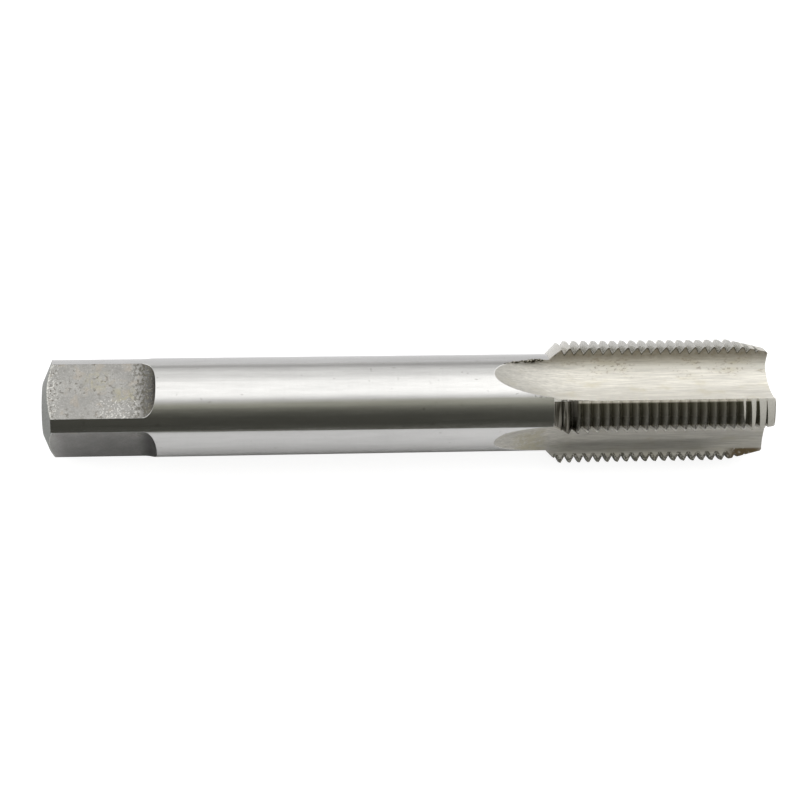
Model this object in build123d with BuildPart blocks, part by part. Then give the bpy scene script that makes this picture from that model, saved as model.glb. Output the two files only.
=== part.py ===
from build123d import *
from math import acos, ceil, cos, degrees, floor, radians, sin, tan
import os

# Machine hand tap for an 11/16 in, 18 threads per inch, right-hand thread.
# The axis lies along +X: the driving square ends at X = 0 and the cutting lead at the far end.
# Angles about the axis run from +Y towards +Z. One flute faces straight down, so that the
# tap lies on the two thread lands beside it.

# ---- Driving dimensions, in millimetres and degrees ----

overall_length = 103.7
shank_diameter = 14.0

# Driving square
square_across_flats = 11.2
square_length = 13.8
square_runout_radius = 2.1
square_turn = 5.1                # the square's turn from the flutes
end_chamfer_length = 1.38
end_face_diameter = 7.6

# Centre holes, 60 degrees, one in each end
centre_pilot_diameter = 2.5
centre_mouth_diameter = 5.3
centre_hole_depth = 5.6
centre_angle = 60.0

# Thread
threads_per_inch = 18
thread_diameter = 17.66
thread_depth = 1.0
least_root_flat = 0.03           # at the bottom of each groove
thread_angle = 60.0
thread_length = 32.05            # from the foot of the shoulder to the tip
crest_phase = 0.62               # share of a pitch from X = 0 to a crest, at angle 0

# Cutting lead, ground on each land about an axis of its own, so that the heel lies lower than
# the cutting edge
lead_length = 4.85               # at the middle of a land
lead_angle = 13.2                # slope from the axis
lead_axis_offset = 0.6           # sideways, towards the cutting edge
tip_edge = 0.25                  # bevel round the tip, each way

# Flutes
flute_count = 4
land_angle = 31.0
rake_angle = 8.0                 # the cutting face leans back into its land
flute_core_radius = 4.35
flute_back_radius = 7.5          # radius of the arc from core to heel
flute_deepest_turn = 7.0         # from the flute's middle towards the cutting face
flute_corner_radius = 1.5        # at the foot of the cutting face
flute_cutter_radius = 50.0       # leaves the run-out's slope along the shank
flute_run_out_start = 79.4       # the full depth runs from here to the tip

# ---- Worked out from the sizes above ----

shank_radius = shank_diameter / 2
thread_radius = thread_diameter / 2
pitch = 25.4 / threads_per_inch
clear = 2.0                      # how far each cutter passes the surface that it cuts

shoulder_foot = overall_length - thread_length
shoulder_top = shoulder_foot + thread_radius - shank_radius
lead_start = overall_length - lead_length
lead_slope = tan(radians(lead_angle))

flank_slope = tan(radians(thread_angle / 2))
crest_flat = pitch / 8
root_radius = thread_radius - thread_depth
root_flat = max(pitch - crest_flat - 2 * thread_depth * flank_slope, least_root_flat)
sharp_crest_radius = thread_radius + crest_flat / 2 / flank_slope

sector = 360 / flute_count
flute_angle = sector - land_angle

# ---- Flute cutter, about +Z, with the flute's middle on +X ----
# Its section is the part of a large circle that lies between the raked cutting face and the
# radial heel. A straight pass cuts the length, and a turn about the cutter's own axis leaves
# the run-out.

wedge_radius = 2 * thread_radius
face_bearing = rake_angle - flute_angle / 2
face_distance = thread_radius * sin(radians(rake_angle))     # of its plane from the axis
face_foot = (
    face_distance * cos(radians(face_bearing - 90)),
    face_distance * sin(radians(face_bearing - 90)),
)
back_centre_radius = flute_core_radius + flute_back_radius
cutter_axis_radius = flute_core_radius + flute_cutter_radius
run_out_turn = degrees(acos(1 - (thread_radius + clear - flute_core_radius) / flute_cutter_radius))

with BuildPart() as flute_cutter:
    with BuildSketch(Plane.XY.offset(flute_run_out_start)) as flute_section:
        with PolarLocations(back_centre_radius, 1, start_angle=-flute_deepest_turn):
            Circle(flute_back_radius)
        with BuildLine():
            Line((0, 0), face_foot)
            cutting_side = PolarLine(face_foot, wedge_radius, face_bearing)
            heel_side = PolarLine((0, 0), wedge_radius, flute_angle / 2)
            Line(cutting_side @ 1, heel_side @ 1)
        make_face(mode=Mode.INTERSECT)
        foot_of_cutting_face = flute_section.vertices().sort_by_distance((0, 0))[0]
        fillet(foot_of_cutting_face, flute_corner_radius)
    extrude(amount=overall_length + clear - flute_run_out_start)
    revolve(
        flute_section.sketch,
        axis=Axis((cutter_axis_radius, 0, flute_run_out_start), (0, -1, 0)),
        revolution_arc=run_out_turn,
    )

# ---- Thread cutter, about +Z ----
# A comb with one tooth for each groove, swept along the thread's helix over one land. It
# starts on +X and is as long as the threaded part.

comb_margin = 6.0                # turn past each side of the land
comb_turn = land_angle + 2 * comb_margin
comb_outer_radius = thread_radius + clear
groove_count = ceil((thread_length + 2 * clear) / pitch)

comb_outline = [(comb_outer_radius, 0), (sharp_crest_radius, 0)]
for groove in range(groove_count):
    middle = (groove + 0.5) * pitch
    comb_outline += [
        (root_radius, middle - root_flat / 2),
        (root_radius, middle + root_flat / 2),
        (sharp_crest_radius, middle + pitch / 2),
    ]
comb_outline.append((comb_outer_radius, groove_count * pitch))

with BuildPart() as thread_comb:
    with BuildLine() as comb_path:
        Helix(pitch, pitch * comb_turn / 360, root_radius)
    with BuildSketch(Plane.XZ):
        Polygon(*comb_outline, align=None)
    sweep(path=comb_path.wire(), is_frenet=True)

# ---- Grinding pass of the lead on one land, about +Z ----
# It starts on +X and turns about the lead's own axis, which stands off the middle of its sweep.

lead_turn = land_angle + 2 * comb_margin
bevel_start = overall_length - tip_edge
bevel_radius = thread_radius - (lead_length - tip_edge) * lead_slope
lead_outer_radius = thread_radius + clear
lead_axis_point = (
    -lead_axis_offset * sin(radians(lead_turn / 2)),
    lead_axis_offset * cos(radians(lead_turn / 2)),
    0,
)

with BuildPart() as lead_cutter:
    with BuildSketch(Plane(origin=lead_axis_point, x_dir=(1, 0, 0), z_dir=(0, -1, 0))):
        Polygon(
            (lead_outer_radius, lead_start - clear / lead_slope),
            (bevel_radius, bevel_start),
            (bevel_radius - tip_edge - clear, overall_length + clear),
            (lead_outer_radius, overall_length + clear),
            align=None,
        )
    revolve(axis=Axis(lead_axis_point, (0, 0, 1)), revolution_arc=lead_turn)

# ---- Cutter for one flat of the driving square, about +Z, with the flat towards +X ----

flat_radius = square_across_flats / 2

with BuildPart() as flat_cutter:
    with BuildSketch(Plane.XZ):
        with BuildLine():
            flat_line = Line((flat_radius, -clear), (flat_radius, square_length))
            run_out = TangentArc(
                flat_line @ 1,
                (flat_radius + square_runout_radius, square_length + square_runout_radius),
                tangent=flat_line % 1,
            )
            Polyline(
                run_out @ 1,
                (shank_diameter, square_length + square_runout_radius),
                (shank_diameter, -clear),
                flat_line @ 0,
            )
        make_face()
    extrude(amount=shank_diameter, both=True)

# ---- The tap ----

with BuildPart(Plane.YZ) as tap:
    # Turned blank: end face, chamfer, shank, shoulder and thread diameter
    with BuildSketch(Plane.XZ):
        Polygon(
            (0, 0),
            (0, end_face_diameter / 2),
            (end_chamfer_length, shank_radius),
            (shoulder_foot, shank_radius),
            (shoulder_top, thread_radius),
            (overall_length, thread_radius),
            (overall_length, 0),
            align=None,
        )
    revolve(axis=Axis.X)

    # Centre holes in both ends
    with Locations(Location((0, 0, overall_length)), Location((0, 0, 0), (180, 0, 0))):
        CounterSinkHole(
            centre_pilot_diameter / 2,
            centre_mouth_diameter / 2,
            depth=centre_hole_depth,
            counter_sink_angle=centre_angle,
        )

    # Driving square
    with PolarLocations(0, 4, start_angle=square_turn):
        add(flat_cutter.part, mode=Mode.SUBTRACT)

    # Flutes
    with PolarLocations(0, flute_count):
        add(flute_cutter.part, mode=Mode.SUBTRACT)

    # Thread: each land's comb starts further along the helix than the one before
    for land in range(flute_count):
        comb_start = (land + 0.5) * sector - comb_turn / 2
        first_crest = (crest_phase + comb_start / 360) * pitch
        crests_before = floor((shoulder_foot - clear - first_crest) / pitch)
        with Locations(Location((0, 0, first_crest + crests_before * pitch), (0, 0, comb_start))):
            add(thread_comb.part, mode=Mode.SUBTRACT)

    # Cutting lead
    with PolarLocations(0, flute_count, start_angle=(sector - lead_turn) / 2):
        add(lead_cutter.part, mode=Mode.SUBTRACT)

tap.part.label = "tap"

os.makedirs("parts", exist_ok=True)
export_step(tap.part, "parts/tap.step")
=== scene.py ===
import bmesh
import bpy
import random
from math import atan2, cos, degrees, hypot, radians, sin, tan
from mathutils import Matrix, Vector


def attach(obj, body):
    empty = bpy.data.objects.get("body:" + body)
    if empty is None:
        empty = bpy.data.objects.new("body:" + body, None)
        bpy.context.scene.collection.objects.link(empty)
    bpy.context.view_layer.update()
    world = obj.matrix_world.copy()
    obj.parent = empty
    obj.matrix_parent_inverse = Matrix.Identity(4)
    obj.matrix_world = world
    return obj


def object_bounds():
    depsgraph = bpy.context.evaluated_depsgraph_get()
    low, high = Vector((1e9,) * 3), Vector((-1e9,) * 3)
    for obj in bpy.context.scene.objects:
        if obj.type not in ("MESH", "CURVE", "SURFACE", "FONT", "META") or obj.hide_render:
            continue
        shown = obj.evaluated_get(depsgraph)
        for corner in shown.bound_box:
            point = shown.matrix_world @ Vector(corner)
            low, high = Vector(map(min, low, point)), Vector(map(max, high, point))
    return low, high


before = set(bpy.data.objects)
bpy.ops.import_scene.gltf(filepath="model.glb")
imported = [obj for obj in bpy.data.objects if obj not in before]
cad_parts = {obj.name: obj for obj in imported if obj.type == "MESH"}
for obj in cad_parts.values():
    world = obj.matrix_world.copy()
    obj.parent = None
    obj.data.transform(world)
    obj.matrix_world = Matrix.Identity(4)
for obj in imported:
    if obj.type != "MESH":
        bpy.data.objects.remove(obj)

cad_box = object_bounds()

# ---- Camera ----
# It looks down on the tap from the side, turned a little from square on and rolled a little.
# Its place is given along the tap, upwards in the view and away from the tap.

image_width_px = 800
camera_focal_px = 1839
camera_turn = radians(6.228)
camera_roll = radians(0.789)
camera_offset = Vector((-0.050147, -0.001282, 0.25891))
camera_bearing = radians(120.2)  # about the tap's axis, from +Y towards +Z

along = Vector((1, 0, 0))
towards = Vector((0, cos(camera_bearing), sin(camera_bearing)))
upwards = towards.cross(along)
turn = Matrix((
    (cos(camera_turn), sin(camera_turn), 0),
    (0, 0, 1),
    (sin(camera_turn), -cos(camera_turn), 0),
))
roll = Matrix.Rotation(camera_roll, 3, "Z")
view = roll @ turn @ Matrix((along, towards, upwards))
camera_place = -(view.transposed() @ camera_offset)

camera_data = bpy.data.cameras.new("camera")
camera_data.lens = camera_data.sensor_width * camera_focal_px / image_width_px
camera = bpy.data.objects.new("camera", camera_data)
bpy.context.scene.collection.objects.link(camera)
facing = Matrix((view[0], view[1], -view[2])).transposed().to_4x4()
camera.matrix_world = Matrix.Translation(camera_place) @ facing
bpy.context.scene.camera = camera

# ---- Studio light ----
# A tent of soft light round the tap, even along it: a bright sheet above, a paler wall behind
# with a thin gap under it, and a dark gap low in front, which together give the ground shank its
# bands. Each row is a bearing about the tap's axis, in degrees, and a brightness.

tent = (
    (0, 0.93), (5, 0.72), (9, 0.58), (13, 0.62), (20, 0.86), (34, 1.15), (46, 1.14),
    (54, 1.4), (60, 1.55), (80, 1.66), (92, 1.68), (98, 1.48), (106, 0.9), (116, 0.48),
    (125, 0.26), (134, 0.14), (145, 0.09), (165, 0.07), (175, 0.1), (180, 0.24),
)
tent_brightest = 1.8
end_boost = 1.5                  # how much brighter the tent is towards the tap's two ends
end_from, end_full = 0.35, 0.8   # where that begins and ends, as the sine of the angle from the side
gap_edge = 0.5                   # the dark gap begins under this brightness
gap_blue = 0.86                  # and is a little warmer than the sheets
half_turn = 180


def put(tree, kind, sockets=None, **settings):
    """Adds a shader node. Each socket is linked to an output or set to a value."""
    piece = tree.nodes.new("ShaderNode" + kind)
    for name, value in settings.items():
        setattr(piece, name, value)
    for name, value in (sockets or {}).items():
        if isinstance(value, bpy.types.NodeSocket):
            tree.links.new(value, piece.inputs[name])
        else:
            piece.inputs[name].default_value = value
    return piece


def sums(tree, operation, *values):
    """Adds a math node and gives its output."""
    return put(tree, "Math", dict(enumerate(values)), operation=operation).outputs[0]


def ramp_up(tree, value, low, high):
    """0 at low, 1 at high and smooth between them; low may be the higher of the two."""
    sockets = {"Value": value, "From Min": low, "From Max": high}
    return put(tree, "MapRange", sockets, interpolation_type="SMOOTHSTEP").outputs[0]


def spread(tree, value, low, high):
    """Carries a share from 0 to 1 onto low to high."""
    return sums(tree, "MULTIPLY_ADD", value, high - low, low)


world = bpy.data.worlds.new("light_tent")
world.use_nodes = True
tree = world.node_tree
tree.nodes.clear()
direction = put(tree, "TexCoord").outputs["Generated"]
parts = put(tree, "SeparateXYZ", {0: direction}).outputs
bearing = sums(tree, "ARCTAN2", parts["Z"], parts["Y"])
share = sums(tree, "DIVIDE", bearing, radians(half_turn))
ramp = put(tree, "ValToRGB", {0: share})
steps = ramp.color_ramp.elements
steps.remove(steps[-1])
for angle, brightness in tent[1:]:
    steps.new(angle / half_turn)
for step, (angle, brightness) in zip(steps, tent):
    step.position = angle / half_turn
    level = brightness / tent_brightest
    step.color = (level, level, level * (gap_blue if brightness < gap_edge else 1), 1)
towards_end = ramp_up(tree, sums(tree, "ABSOLUTE", parts["X"]), end_from, end_full)
strength = sums(tree, "MULTIPLY", spread(tree, towards_end, 1.0, end_boost), tent_brightest)
glow = put(tree, "Background", {"Color": ramp.outputs[0], "Strength": strength})
plain = put(tree, "Background", {"Color": (1, 1, 1, 1)})
seen = put(tree, "LightPath").outputs["Is Camera Ray"]
mix = put(tree, "MixShader", {0: seen, 1: glow.outputs[0], 2: plain.outputs[0]})
put(tree, "OutputWorld", {"Surface": mix.outputs[0]})
bpy.context.scene.world = world
bpy.context.scene.view_settings.view_transform = "Standard"

# ---- Floor ----
# A white light table under the tap. Most of its white is its own light, so the tap's shadow stays
# faint. In the steel it is mirrored as a sheet a little less white.

floor_half = 3.0
floor_height = cad_box[0][2]
floor_corners = ((-1, -1), (1, -1), (1, 1), (-1, 1))
table_light = 0.9
table_paper = (0.25, 0.25, 0.25, 1)
table_mirrored = (0.78, 0.78, 0.8, 1)

floor_mesh = bpy.data.meshes.new("light_table")
floor_mesh.from_pydata(
    [(floor_half * x, floor_half * y, floor_height) for x, y in floor_corners], [], [(0, 1, 2, 3)]
)
floor = bpy.data.objects.new("light_table", floor_mesh)
bpy.context.scene.collection.objects.link(floor)

table_white = bpy.data.materials.new("table_white")
table_white.use_nodes = True
tree = table_white.node_tree
tree.nodes.clear()
own_light = put(tree, "Emission", {"Color": (1, 1, 1, 1), "Strength": table_light})
paper = put(tree, "BsdfDiffuse", {"Color": table_paper})
lit_paper = put(tree, "AddShader", {0: own_light.outputs[0], 1: paper.outputs[0]})
mirrored = put(tree, "BsdfDiffuse", {"Color": table_mirrored})
seen = put(tree, "LightPath").outputs["Is Camera Ray"]
table = put(tree, "MixShader", {0: seen, 1: mirrored.outputs[0], 2: lit_paper.outputs[0]})
put(tree, "OutputMaterial", {"Surface": table.outputs[0]})
floor_mesh.materials.append(table_white)

# ---- Places on the tap ----
# Every finish is told where it is by the tap's own sizes, in millimetres and degrees: along the
# tap, out from its axis, round from +Y towards +Z, and from the planes and cones that the square,
# the flutes, the thread and the lead were cut to.

mm = 0.001
tap_length = cad_box[1][0] / mm
shank_radius = 7.0
chamfer_length = 1.38
end_face_radius = 3.8
full_turn = 360.0
quarter_turn = 90.0              # from one land, or one flat, to the next
square_turn = 5.1                # from a flute's middle to the middle of the flat beside it
thread_length = 32.05            # from the shoulder's foot to the lead's end
shoulder_foot = tap_length - thread_length
inch = 25.4
pitch = inch / 18
crest_phase = 0.62               # where the crests lie along the tap, as a share of the pitch
crest_half = pitch / 16          # half the flat on each crest
flank_slope = tan(radians(30))   # of a 60 degree thread
thread_radius = 8.83
thread_depth = 1.0
thread_root = thread_radius - thread_depth
land_middle = quarter_turn / 2   # the bearing of the first land
land_half = 15.5
rake = 8.0
lead_length = 4.85
lead_start = tap_length - lead_length
lead_slope = tan(radians(13.2))
lead_axis_offset = 0.6


def new_group(name, takes, gives):
    """Starts a shader node group with float or vector sockets."""
    kinds = {"f": "NodeSocketFloat", "v": "NodeSocketVector"}
    group = bpy.data.node_groups.new(name, "ShaderNodeTree")
    for title, kind in takes:
        group.interface.new_socket(title, in_out="INPUT", socket_type=kinds[kind])
    for title, kind in gives:
        group.interface.new_socket(title, in_out="OUTPUT", socket_type=kinds[kind])
    return group, group.nodes.new("NodeGroupInput"), group.nodes.new("NodeGroupOutput")


distances = (
    "Along", "Radius", "Bearing", "Square Height", "Land Turn", "Past Face", "Past Heel", "Thread Gap",
    "Lead Height", "Past Chamfer",
)
place_outputs = [("Place", "v")] + [(title, "f") for title in distances]
places, takes, gives = new_group("places_on_tap", (), place_outputs)
tree = places
where = put(tree, "TexCoord").outputs["Object"]
place = put(tree, "VectorMath", {0: where, "Scale": 1 / mm}, operation="SCALE").outputs[0]
x, y, z = put(tree, "SeparateXYZ", {0: place}).outputs
radius = sums(tree, "SQRT", sums(tree, "MULTIPLY_ADD", y, y, sums(tree, "MULTIPLY", z, z)))
bearing = sums(tree, "DEGREES", sums(tree, "ARCTAN2", z, y))
bearing = sums(tree, "MODULO", sums(tree, "ADD", bearing, full_turn), full_turn)

# The square's flats: how far out a point lies, square to the nearest flat.
from_corner = sums(tree, "ADD", bearing, full_turn + quarter_turn / 2 - square_turn)
flat_turn = sums(tree, "SUBTRACT", sums(tree, "MODULO", from_corner, quarter_turn), quarter_turn / 2)
square_height = sums(tree, "MULTIPLY", radius, sums(tree, "COSINE", sums(tree, "RADIANS", flat_turn)))

# The flutes: how far a point lies inside the cutting face and the heel of the nearest land.
land_turn = sums(tree, "SUBTRACT", sums(tree, "MODULO", bearing, quarter_turn), land_middle)


def plane_depth(turn_from_land, offset):
    """How far a point lies past a plane along the tap that is turned from the land's middle."""
    angle = sums(tree, "RADIANS", sums(tree, "SUBTRACT", land_turn, turn_from_land))
    return sums(tree, "MULTIPLY_ADD", radius, sums(tree, "SINE", angle), offset)


past_face = plane_depth(land_half + rake, thread_radius * sin(radians(rake)))
past_heel = plane_depth(-land_half, 0)

# The thread: how far a point lies under the surface that the grooves were cut to.
turns = sums(tree, "SUBTRACT", sums(tree, "DIVIDE", x, pitch), sums(tree, "DIVIDE", bearing, full_turn))
from_crest = sums(tree, "PINGPONG", sums(tree, "SUBTRACT", turns, crest_phase), 0.5)
down_flank = sums(tree, "MAXIMUM", sums(tree, "MULTIPLY_ADD", from_crest, pitch, -crest_half), 0)
flank_radius = sums(tree, "MULTIPLY_ADD", down_flank, -1 / flank_slope, thread_radius)
thread_gap = sums(tree, "SUBTRACT", sums(tree, "MAXIMUM", flank_radius, thread_root), radius)

# The lead: how far a point lies outside the cone that each land's last teeth were ground to.
land_angle = sums(tree, "RADIANS", land_turn)
lead_u = sums(tree, "MULTIPLY", radius, sums(tree, "COSINE", land_angle))
lead_v = sums(tree, "MULTIPLY_ADD", radius, sums(tree, "SINE", land_angle), -lead_axis_offset)
lead_square = sums(tree, "MULTIPLY_ADD", lead_u, lead_u, sums(tree, "MULTIPLY", lead_v, lead_v))
past_start = sums(tree, "SUBTRACT", x, lead_start)
cone_drop = sums(tree, "MULTIPLY_ADD", past_start, lead_slope, -thread_radius)
lead_height = sums(tree, "ADD", sums(tree, "SQRT", lead_square), cone_drop)

# The end chamfer: how far along the tap a point lies past its cone.
chamfer_pitch = chamfer_length / (shank_radius - end_face_radius)
cone_start = sums(tree, "MULTIPLY_ADD", radius, -chamfer_pitch, chamfer_pitch * end_face_radius)
past_chamfer = sums(tree, "ADD", x, cone_start)

found = (
    place, x, radius, bearing, square_height, land_turn, past_face, past_heel, thread_gap,
    lead_height, past_chamfer,
)
for socket, value in zip(gives.inputs, found):
    tree.links.new(value, socket)

# ---- Effects that several finishes share ----
# Streaks are the fine lines that a cutter or wheel leaves, and clouds of stain. Specks are pits,
# painted glints or spots of dirt. Both stay at their places on the tap, and the higher the stretch along
# an axis, the finer they are that way.

streaks, takes, gives = new_group(
    "streaks", (("Place", "v"), ("Stretch", "v"), ("Soft", "f")), (("Value", "f"),)
)
tree = streaks
sockets = {0: takes.outputs["Place"], 1: takes.outputs["Stretch"]}
stretched = put(tree, "VectorMath", sockets, operation="MULTIPLY").outputs[0]
sockets = {"Vector": stretched, "Scale": 1.0, "Detail": 3.0, "Roughness": takes.outputs["Soft"]}
noise = put(tree, "TexNoise", sockets)
tree.links.new(noise.outputs[0], gives.inputs["Value"])

specks, takes, gives = new_group(
    "specks", (("Place", "v"), ("Stretch", "v"), ("Least", "f"), ("Most", "f")), (("Mask", "f"),)
)
tree = specks
sockets = {0: takes.outputs["Place"], 1: takes.outputs["Stretch"]}
stretched = put(tree, "VectorMath", sockets, operation="MULTIPLY").outputs[0]
noise = put(tree, "TexNoise", {"Vector": stretched, "Scale": 1.0, "Detail": 2.0})
mask = ramp_up(tree, noise.outputs[0], takes.outputs["Least"], takes.outputs["Most"])
tree.links.new(mask, gives.inputs["Mask"])


def streaked(tree, place, stretch, soft):
    """Places the streaks in a material and gives their value, from 0 to 1."""
    sockets = {"Place": place, "Stretch": stretch, "Soft": soft}
    return put(tree, "Group", sockets, node_tree=streaks).outputs["Value"]


def specked(tree, place, stretch, least, most):
    """Places the specks in a material and gives their mask. They start where the noise is at least."""
    sockets = {"Place": place, "Stretch": stretch, "Least": least, "Most": most}
    return put(tree, "Group", sockets, node_tree=specks).outputs["Mask"]


def around(tree, value, middle, full, none):
    """1 within full of the middle and 0 beyond none."""
    distance = sums(tree, "ABSOLUTE", sums(tree, "SUBTRACT", value, middle))
    return ramp_up(tree, distance, none, full)


def both(tree, *shares):
    """The product of masks, or of a mask and a strength."""
    product = shares[0]
    for share in shares[1:]:
        product = sums(tree, "MULTIPLY", product, share)
    return product


def either(tree, *shares):
    """The greatest of several masks."""
    greatest = shares[0]
    for share in shares[1:]:
        greatest = sums(tree, "MAXIMUM", greatest, share)
    return greatest


def lacking(tree, share):
    """One minus a mask."""
    return sums(tree, "SUBTRACT", 1.0, share)


def blend(tree, share, first, second):
    """Mixes two colours, or two numbers, by a share from 0 to 1."""
    colours = any(hasattr(v, "__len__") or getattr(v, "type", "") == "RGBA" for v in (first, second))
    sockets = {0: share, 6: first, 7: second} if colours else {0: share, 2: first, 3: second}
    mixed = put(tree, "Mix", sockets, data_type="RGBA" if colours else "FLOAT")
    return mixed.outputs[2 if colours else 0]


def tint(tree, colour, mask, low, high):
    """A colour times a number that goes from low to high with a mask."""
    factor = spread(tree, mask, low, high)
    grey = put(tree, "CombineXYZ", {0: factor, 1: factor, 2: factor}).outputs[0]
    sockets = {0: 1.0, 6: colour, 7: grey}
    return put(tree, "Mix", sockets, data_type="RGBA", blend_type="MULTIPLY").outputs[2]


# ---- The tap ----
# One piece of high speed steel. The shank is ground, the square is milled and left rough from
# hardening, the flutes are milled and blasted pale, and the thread and lead are ground last.

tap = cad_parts["tap"]
steel = bpy.data.materials.new("high_speed_steel")
steel.use_nodes = True
tree = steel.node_tree
shader = tree.nodes["Principled BSDF"]
spot = put(tree, "Group", node_tree=places).outputs
place = spot["Place"]
along_tap = spot["Along"]
radius = spot["Radius"]
bearing = spot["Bearing"]

# Shank: ground round, with faint lines round it, long smears and a few small marks. It is
# painted a little brighter towards the flutes, a painted lightening of its reflections, and
# painted darker there along one band facing up, a painted shade.
shank_steel = (0.57, 0.565, 0.55, 1)
shank_mark = (0.3, 0.29, 0.27, 1)
shank_shade_bearing = 60.0
wheel_lines = streaked(tree, place, (9.0, 0.35, 0.35), 0.6)
smears = streaked(tree, place, (0.16, 1.4, 1.4), 0.72)
marks = specked(tree, place, (1.1, 1.6, 1.6), 0.68, 0.76)
colour = tint(tree, shank_steel, wheel_lines, 0.96, 1.04)
colour = tint(tree, colour, smears, 0.85, 1.12)
# Painted light: brighter towards the flutes, where the reflections in the steel look lighter.
colour = tint(tree, colour, ramp_up(tree, along_tap, 45.0, 70.0), 1.0, 1.1)
# Painted shade: a band round bearing 60 is darker along the shank towards the flutes.
shank_shade_length = ramp_up(tree, along_tap, 35.0, 68.0)
shank_shade_band = both(tree, around(tree, bearing, shank_shade_bearing, 12.0, 28.0), shank_shade_length)
colour = tint(tree, colour, shank_shade_band, 1.0, 0.85)
colour = blend(tree, both(tree, marks, 0.5), colour, shank_mark)
roughness = sums(tree, "ADD", spread(tree, wheel_lines, 0.1, 0.16), spread(tree, smears, -0.03, 0.05))
height = both(tree, wheel_lines, 0.2)

# Square: four flats, each with a round run-out. Scale, stain and pits from hardening lie mostly
# on the upper side, with painted glints among them. The run-out is painted darkest, a painted
# shade in its hollow. The other sides are cleaner and painted darker, a painted shade, but
# painted lighter near the end of the square. Its edge by the chamfer has a painted highlight.
square_length = 13.8
run_out_radius = 2.1
square_foot = square_length + run_out_radius
flat_height = 5.6
milled_steel = (0.275, 0.27, 0.255, 1)
brown_stain = (0.33, 0.29, 0.235, 1)
yellow_stain = (0.33, 0.305, 0.2, 1)
pit_black = (0.1, 0.09, 0.075, 1)
fine_pit_black = (0.09, 0.085, 0.07, 1)
glint_white = (0.62, 0.61, 0.57, 1)
edge_highlight_white = (0.6, 0.6, 0.56, 1)
upper_bearing = 95.0
yellow_spots = (                 # along the tap and its reach, and the bearing and its reach
    ((7.6, 0.8, 2.2), (80.0, 6.0, 18.0)),
    ((11.4, 0.9, 2.2), (101.0, 5.0, 15.0)),
)
glint_along = (10.6, 2.0, 3.4)
glint_bearing = (121.0, 9.0, 17.0)

below_shank = ramp_up(tree, radius, shank_radius - 0.02, shank_radius - 0.05)
to_end = ramp_up(tree, along_tap, square_foot + 0.5, square_foot + 0.3)
flat_plane = both(
    tree, around(tree, spot["Square Height"], flat_height, 0.01, 0.02),
    ramp_up(tree, along_tap, square_length + 0.2, square_length + 0.1),
)
run_out = both(tree, below_shank, ramp_up(tree, along_tap, square_length - 0.1, square_length))
on_square = both(tree, to_end, either(tree, flat_plane, run_out))
scale_and_lit_side = around(tree, bearing, upper_bearing, 40.0, 75.0)
ran_out = ramp_up(tree, along_tap, 13.0, 15.0)
by_start = ramp_up(tree, along_tap, 3.2, 1.2)

mottle = streaked(tree, place, (0.45, 0.45, 0.45), 0.6)
grain = streaked(tree, place, (4.0, 4.0, 4.0), 0.75)
stain_edge = streaked(tree, place, (1.3, 1.3, 1.3), 0.7)
flat_steel = tint(tree, milled_steel, mottle, 0.7, 1.3)
# Painted shade: the flats away from the upper side are darker.
flat_steel = tint(tree, flat_steel, scale_and_lit_side, 0.72, 1.0)
# Painted light: the flats away from the upper side are lighter near the end of the square.
flat_steel = tint(tree, flat_steel, both(tree, by_start, lacking(tree, scale_and_lit_side)), 1.0, 1.5)
flat_steel = tint(tree, flat_steel, grain, 0.7, 1.3)
stains = specked(tree, place, (0.7, 0.7, 0.7), 0.52, 0.68)
flat_steel = blend(tree, both(tree, stains, scale_and_lit_side, 0.4), flat_steel, brown_stain)
stain_place = either(tree, *(
    both(tree, around(tree, along_tap, *reach), around(tree, bearing, *turn_reach))
    for reach, turn_reach in yellow_spots
))
stain_place = both(tree, stain_place, ramp_up(tree, stain_edge, 0.4, 0.62))
flat_steel = blend(tree, both(tree, stain_place, 0.5), flat_steel, yellow_stain)
# Painted shade: the run-out's hollow is painted much darker.
flat_steel = tint(tree, flat_steel, ran_out, 1.0, 0.24)
pits = specked(tree, place, (2.4, 2.4, 2.4), 0.53, 0.68)
pit_bed = spread(tree, ramp_up(tree, mottle, 0.42, 0.62), 0.15, 0.8)
pit_share = both(tree, pits, either(tree, ran_out, by_start, pit_bed), spread(tree, scale_and_lit_side, 0.15, 0.9))
flat_steel = blend(tree, pit_share, flat_steel, pit_black)
fine_pits = specked(tree, place, (2.6, 2.0, 2.0), 0.48, 0.56)
by_run_out = ramp_up(tree, along_tap, 11.5, 14.0)
fine_share = both(tree, fine_pits, by_run_out, spread(tree, scale_and_lit_side, 0.2, 0.95))
flat_steel = blend(tree, fine_share, flat_steel, fine_pit_black)
# Painted glints: small bright specks standing for light caught by pits, mostly on the upper side.
glints = specked(tree, place, (4.5, 4.5, 4.5), 0.56, 0.64)
glint_patch = both(tree, around(tree, along_tap, *glint_along), around(tree, bearing, *glint_bearing))
glint_place = spread(tree, either(tree, by_start, glint_patch), 0.12, 0.7)
flat_steel = blend(tree, both(tree, glints, glint_place, scale_and_lit_side), flat_steel, glint_white)
# Painted highlight: a pale ragged rim along the edge by the end chamfer.
painted_edge_highlight = both(tree, ramp_up(tree, spot["Past Chamfer"], 0.35, 0.1), ramp_up(tree, grain, 0.42, 0.55))
flat_steel = blend(tree, both(tree, painted_edge_highlight, 0.7), flat_steel, edge_highlight_white)
pitted = both(tree, spread(tree, scale_and_lit_side, 0.15, 1.0), sums(tree, "MULTIPLY_ADD", pit_share, -1.5, grain))
colour = blend(tree, on_square, colour, flat_steel)
roughness = blend(tree, on_square, roughness, spread(tree, grain, 0.3, 0.42))
height = blend(tree, on_square, height, pitted)

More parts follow.
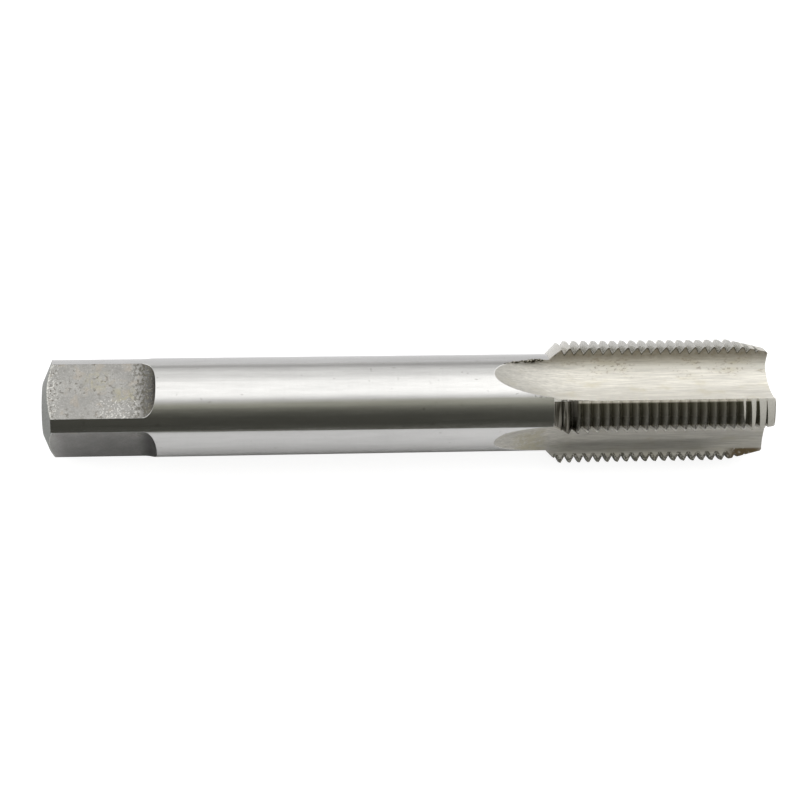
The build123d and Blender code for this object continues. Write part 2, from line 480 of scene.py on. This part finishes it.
# End chamfer, end faces and centre holes: turned, and greyed in hardening.
turned_steel = (0.23, 0.235, 0.215, 1)
hole_steel = (0.24, 0.235, 0.21, 1)
hole_mouth_radius = 2.65
on_end = either(
    tree, ramp_up(tree, spot["Past Chamfer"], 0.07, 0.04), ramp_up(tree, along_tap, 0.06, 0.03),
    ramp_up(tree, along_tap, tap_length - 0.06, tap_length - 0.03),
)
in_hole = ramp_up(tree, radius, hole_mouth_radius + 0.03, hole_mouth_radius - 0.01)
colour = blend(tree, on_end, colour, tint(tree, turned_steel, grain, 0.3, 1.7))
colour = blend(tree, in_hole, colour, hole_steel)
roughness = blend(tree, in_hole, blend(tree, on_end, roughness, 0.38), 0.3)
height = blend(tree, on_end, height, grain)

# Flutes: milled lengthwise and blasted to a warm, pale satin, with dirt and painted shade on the cutting
# faces.
# The flute that faces -Y is painted greyer and darker than the others, a painted shade, with a painted
# darker band along it, also a painted shade.
blasted_steel = (0.74, 0.715, 0.65, 1)
cloudy_steel = (0.66, 0.62, 0.5, 1)
painted_light_corner = (0.92, 0.9, 0.83, 1)
face_dirt_and_shade_brown = (0.24, 0.21, 0.155, 1)
rust_brown = (0.3, 0.24, 0.18, 1)
shaded_grey_steel = (0.42, 0.41, 0.385, 1)
mid_shank = 40.0
shaded_flute_bearing = 178.0
flute_metal = 0.15

past_shoulder = ramp_up(tree, along_tap, shoulder_foot - 0.1, shoulder_foot + 0.1)
inside_face = sums(tree, "MULTIPLY", spot["Past Face"], -1.0)
inside_land = ramp_up(tree, sums(tree, "MINIMUM", inside_face, spot["Past Heel"]), 0.02, 0.05)
on_land = both(tree, past_shoulder, inside_land)
milled = both(tree, below_shank, ramp_up(tree, along_tap, mid_shank, mid_shank + 0.1))
in_flute = both(tree, either(tree, milled, past_shoulder), lacking(tree, on_land))
face_side = ramp_up(tree, spot["Land Turn"], 0.0, 5.0)
heel_side = ramp_up(tree, spot["Land Turn"], 0.0, -5.0)

fine_lines = streaked(tree, place, (0.25, 6.0, 6.0), 0.7)
broad_lines = streaked(tree, place, (0.1, 1.7, 1.7), 0.5)
clouds = streaked(tree, place, (0.25, 0.5, 0.5), 0.6)
blasted = tint(tree, blasted_steel, fine_lines, 0.52, 1.48)
blasted = tint(tree, blasted, broad_lines, 0.75, 1.25)
blasted = blend(tree, ramp_up(tree, clouds, 0.5, 0.8), blasted, cloudy_steel)
by_face = both(tree, ramp_up(tree, spot["Past Face"], 0.5, 0.1), face_side)
# Painted light: the deep corner by the cutting face is painted near white.
blasted = blend(tree, both(tree, by_face, ramp_up(tree, radius, 6.2, 5.2)), blasted, painted_light_corner)
# Dirt and painted shade: the cutting face is darker brown towards its edge.
face_dirt_and_shade = both(tree, by_face, ramp_up(tree, radius, 5.6, 7.7), spread(tree, stain_edge, 0.55, 1.2))
blasted = blend(tree, face_dirt_and_shade, blasted, face_dirt_and_shade_brown)
by_heel = both(tree, heel_side, ramp_up(tree, spot["Past Heel"], -3.0, -0.4))
blasted = tint(tree, blasted, by_heel, 1.0, 0.78)
rust = specked(tree, place, (1.8, 3.2, 3.2), 0.53, 0.64)
rust_reach = ramp_up(tree, spot["Past Face"], 2.2, 0.3)
rust_bed = both(tree, face_side, ramp_up(tree, clouds, 0.46, 0.6), rust_reach)
blasted = blend(tree, both(tree, rust, spread(tree, rust_bed, 0.04, 0.6)), blasted, rust_brown)
# Painted shade: the flute facing -Y is greyer and darker, with a darker band along its middle.
shaded_flute = around(tree, bearing, shaded_flute_bearing, 28.0, 45.0)
streaky_shaded_grey = tint(tree, shaded_grey_steel, fine_lines, 0.5, 1.5)
blasted = blend(tree, both(tree, shaded_flute, 0.22), blasted, streaky_shaded_grey)
band_length = both(tree, ramp_up(tree, along_tap, 68.0, 76.0), ramp_up(tree, along_tap, 99.0, 93.0))
flute_shade_band = both(tree, shaded_flute, band_length, around(tree, radius, 6.6, 0.3, 1.3))
blasted = tint(tree, blasted, flute_shade_band, 1.0, 0.6)
# Painted shade: the flutes are darker where they run out towards the shank, less so on the flute facing -Y.
tip_shade = both(tree, ramp_up(tree, along_tap, 77.0, 61.0), spread(tree, shaded_flute, 1.0, 0.2))
blasted = tint(tree, blasted, tip_shade, 1.0, 0.45)
colour = blend(tree, in_flute, colour, blasted)
roughness = blend(tree, in_flute, roughness, spread(tree, fine_lines, 0.42, 0.56))
height = blend(tree, in_flute, height, fine_lines)
metal = spread(tree, in_flute, 1.0, flute_metal)

# Thread: ground grooves, painted darker towards their roots, a painted shade, dark with oil and
# painted shade towards the heel, and painted bright by the cutting edge, a painted light. The
# upper land is painted paler, a painted light, and burr and painted shade make a dark line round
# the grooves' ends in the flutes.
crest_steel = (0.36, 0.35, 0.32, 1)
groove_shade_steel = (0.19, 0.18, 0.14, 1)
lit_pale_steel = (0.7, 0.69, 0.65, 1)
edge_light_steel = (0.62, 0.605, 0.56, 1)
oil_and_shade_brown = (0.12, 0.11, 0.072, 1)
heel_steel = (0.66, 0.63, 0.55, 1)
burr_and_shade_black = (0.06, 0.056, 0.04, 1)
edge_light_bearing = 150.0
low_teeth_bearing = 205.0

soot = streaked(tree, place, (0.8, 0.8, 0.8), 0.55)
# Painted shade: the grooves are darker towards their roots.
groove_shade = ramp_up(tree, radius, thread_radius - 0.1, thread_root + 0.1)
ground = tint(tree, blend(tree, groove_shade, crest_steel, groove_shade_steel), soot, 0.8, 1.2)
upper_land = around(tree, bearing, land_middle, 20.0, 40.0)
# Painted light: the upper land is paler.
lit_land = both(tree, upper_land, spread(tree, ramp_up(tree, grain, 0.62, 0.5), 0.2, 0.55))
ground = blend(tree, lit_land, ground, lit_pale_steel)
# Painted light: bright by the cutting edge, most of all on the land facing bearing 150.
edge_light = both(
    tree, ramp_up(tree, inside_face, 0.45, 0.25),
    spread(tree, around(tree, bearing, edge_light_bearing, 15.0, 40.0), 0.25, 1.0),
)
ground = blend(tree, edge_light, ground, edge_light_steel)
# Oil and painted shade: darker towards the heel, except on the upper land.
heel_oil_and_shade = ramp_up(tree, spot["Past Heel"], 4.6, 0.2)
ground = blend(tree, both(tree, heel_oil_and_shade, lacking(tree, upper_land), 0.8), ground, oil_and_shade_brown)
worn_heel = ramp_up(tree, spot["Past Heel"], 0.5, 0.2)
ground = blend(tree, worn_heel, ground, heel_steel)
colour = blend(tree, on_land, colour, ground)
roughness = blend(tree, on_land, roughness, spread(tree, edge_light, 0.26, 0.4))
height = blend(tree, on_land, height, 0.0)
ground_metal = sums(tree, "MULTIPLY_ADD", heel_oil_and_shade, -0.4, spread(tree, edge_light, 0.92, 0.6))
metal = blend(tree, on_land, metal, ground_metal)
metal = blend(tree, both(tree, on_land, worn_heel), metal, 0.3)
low_teeth = around(tree, bearing, low_teeth_bearing, 15.0, 30.0)
from_groove = sums(tree, "MULTIPLY_ADD", low_teeth, -0.35, spot["Thread Gap"])
# Burr and painted shade: a dark ragged line round the grooves' ends, wider on the low teeth.
near_edge = both(
    tree, in_flute, past_shoulder, ramp_up(tree, from_groove, 0.42, 0.2),
    ramp_up(tree, grain, 0.38, 0.5), ramp_up(tree, radius, 7.4, 7.6), 0.85,
)
colour = blend(tree, near_edge, colour, burr_and_shade_black)

# Shoulder: turned and left dark from hardening, with fine lines round it, and painted darker
# still round bearing 132, a painted shade, but painted pale on the upper land, a painted light.
shoulder_shade_black = (0.035, 0.031, 0.02, 1)
shoulder_grey = (0.17, 0.16, 0.135, 1)
shoulder_lit_pale = (0.6, 0.585, 0.54, 1)
shoulder_end = shoulder_foot + 3.1
shaded_shoulder_bearing = 132.0
shoulder_rings = streaked(tree, place, (3.2, 0.15, 0.15), 0.5)
on_shoulder = both(tree, on_land, ramp_up(tree, along_tap, shoulder_end + 0.2, shoulder_end - 0.2))
turned_dark_and_shade = blend(tree, ramp_up(tree, shoulder_rings, 0.44, 0.58), shoulder_shade_black, shoulder_grey)
# Painted shade: the shoulder is darkest on the side round bearing 132.
hardened_and_shaded = spread(tree, around(tree, bearing, shaded_shoulder_bearing, 18.0, 40.0), 0.3, 1.0)
colour = blend(tree, both(tree, on_shoulder, hardened_and_shaded), colour, turned_dark_and_shade)
# Painted light: the shoulder is pale on the upper land.
colour = blend(tree, both(tree, on_shoulder, upper_land), colour, shoulder_lit_pale)

# Lead: the tops of the last teeth, ground pale and matt.
lead_steel = (0.48, 0.465, 0.42, 1)
first_short_tooth = 97.0
near_lead = ramp_up(tree, sums(tree, "ABSOLUTE", spot["Lead Height"]), 0.05, 0.02)
past_full_teeth = ramp_up(tree, along_tap, first_short_tooth, first_short_tooth + 0.1)
on_lead = both(tree, on_land, near_lead, past_full_teeth)
colour = blend(tree, on_lead, colour, tint(tree, lead_steel, grain, 0.7, 1.3))
roughness = blend(tree, on_lead, roughness, 0.5)
metal = sums(tree, "MULTIPLY_ADD", on_lead, -0.75, metal)

# Stains: brown on the last teeth of the low land, yellowish where the near flute runs out.
brown_oil = (0.11, 0.075, 0.03, 1)
yellow_film = (0.46, 0.42, 0.26, 1)
brown_place = both(
    tree, around(tree, along_tap, 101.3, 1.3, 3.6), around(tree, bearing, 214.0, 12.0, 24.0),
    ramp_up(tree, radius, 6.9, 7.3), ramp_up(tree, stain_edge, 0.3, 0.45),
)
colour = blend(tree, brown_place, colour, brown_oil)
yellow_place = both(
    tree, in_flute, around(tree, along_tap, 68.8, 1.2, 3.2), around(tree, bearing, 188.0, 10.0, 24.0),
    ramp_up(tree, stain_edge, 0.35, 0.55), 0.5,
)
colour = blend(tree, yellow_place, colour, yellow_film)

bump = put(tree, "Bump", {"Height": height, "Strength": 0.6, "Distance": 0.02 * mm})
tree.links.new(colour, shader.inputs["Base Color"])
tree.links.new(roughness, shader.inputs["Roughness"])
tree.links.new(metal, shader.inputs["Metallic"])
tree.links.new(bump.outputs[0], shader.inputs["Normal"])
tap.material_slots[0].material = steel

# ---- Burr ----
# A ragged lip of the same steel, thrown up by the flute cutter along the edge where one flute
# leaves the shank, and blackened in hardening. It is a lumpy rod half sunk in the shank.

burr_start, burr_end = 64.6, 71.3
burr_bearings = (55, 95)         # the stretch of bearings that this edge lies in
edge_margins = (2, 1)            # how far the edge is followed past the burr's start and end
edge_miss = 0.004                # how far off the shank's radius a vertex of the edge may lie
burr_step = 0.1
burr_sides = 6
burr_least, burr_most = 0.05, 0.27
burr_lump = 6                    # rings from one lump of the burr to the next
burr_lean = 1.3                  # degrees that a lump may stray from the edge
burr_taper = 8                   # an eighth of its length tapers off at each end
burr_flatness = 1.3              # its width over its height
burr_sunk = 0.02
thinnest = 0.01
ring_spread = (0.6, 1.2)
corner_spread = (0.75, 1.25)
chance = random.Random(4)

edge = []
for vertex in tap.data.vertices:
    x, y, z = (value / mm for value in vertex.co)
    on_shank = abs(hypot(y, z) - shank_radius) < edge_miss
    if on_shank and burr_start - edge_margins[0] < x < burr_end + edge_margins[1]:
        angle = degrees(atan2(z, y))
        if burr_bearings[0] < angle < burr_bearings[1]:
            edge.append((x, angle))
edge.sort()


def edge_bearing(x):
    """The bearing of the flute's edge on the shank, a given way along the tap."""
    for (x0, angle0), (x1, angle1) in zip(edge, edge[1:]):
        if x0 <= x <= x1 and x1 > x0:
            return angle0 + (angle1 - angle0) * (x - x0) / (x1 - x0)
    return edge[-1][1]


mesh = bmesh.new()
rings = []
lump_after, lean_after = burr_least, 0
steps_along = int((burr_end - burr_start) / burr_step)
for step in range(steps_along + 1):
    share = step / steps_along
    x = burr_start + share * (burr_end - burr_start)
    if step % burr_lump == 0:
        lump_before, lump_after = lump_after, chance.uniform(burr_least, burr_most)
        lean_before, lean_after = lean_after, chance.uniform(-burr_lean, burr_lean)
    between = step % burr_lump / burr_lump
    size = lump_before + (lump_after - lump_before) * between
    size *= chance.uniform(*ring_spread) * min(1, burr_taper * share, burr_taper * (1 - share))
    size += thinnest
    lean = lean_before + (lean_after - lean_before) * between
    angle = radians(edge_bearing(x) + lean)
    outwards = Vector((0, cos(angle), sin(angle)))
    across = Vector((0, -sin(angle), cos(angle))) * burr_flatness
    middle = Vector((x, 0, 0)) + outwards * (shank_radius - burr_sunk)
    ring = []
    for side in range(burr_sides):
        turn = radians(full_turn * side / burr_sides)
        reach = size * chance.uniform(*corner_spread)
        point = middle + outwards * reach * cos(turn) + across * reach * sin(turn)
        ring.append(mesh.verts.new(point * mm))
    rings.append(ring)
for first, second in zip(rings, rings[1:]):
    for side in range(burr_sides):
        after = (side + 1) % burr_sides
        mesh.faces.new((first[side], first[after], second[after], second[side]))
mesh.faces.new(reversed(rings[0]))
mesh.faces.new(rings[-1])
bmesh.ops.recalc_face_normals(mesh, faces=mesh.faces)
burr_mesh = bpy.data.meshes.new("flute_burr")
mesh.to_mesh(burr_mesh)
mesh.free()
burr = bpy.data.objects.new("flute_burr", burr_mesh)
bpy.context.scene.collection.objects.link(burr)

scale_black = (0.05, 0.045, 0.03, 1)
bare_fleck = (0.34, 0.32, 0.27, 1)
black_steel = bpy.data.materials.new("blackened_steel")
black_steel.use_nodes = True
tree = black_steel.node_tree
shader = tree.nodes["Principled BSDF"]
place = put(tree, "Group", node_tree=places).outputs["Place"]
flecks = specked(tree, place, (3.0, 5.0, 5.0), 0.5, 0.6)
tree.links.new(blend(tree, flecks, scale_black, bare_fleck), shader.inputs["Base Color"])
tree.links.new(spread(tree, flecks, 0.6, 0.35), shader.inputs["Roughness"])
shader.inputs["Metallic"].default_value = 1.0
burr_mesh.materials.append(black_steel)
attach(burr, "root")
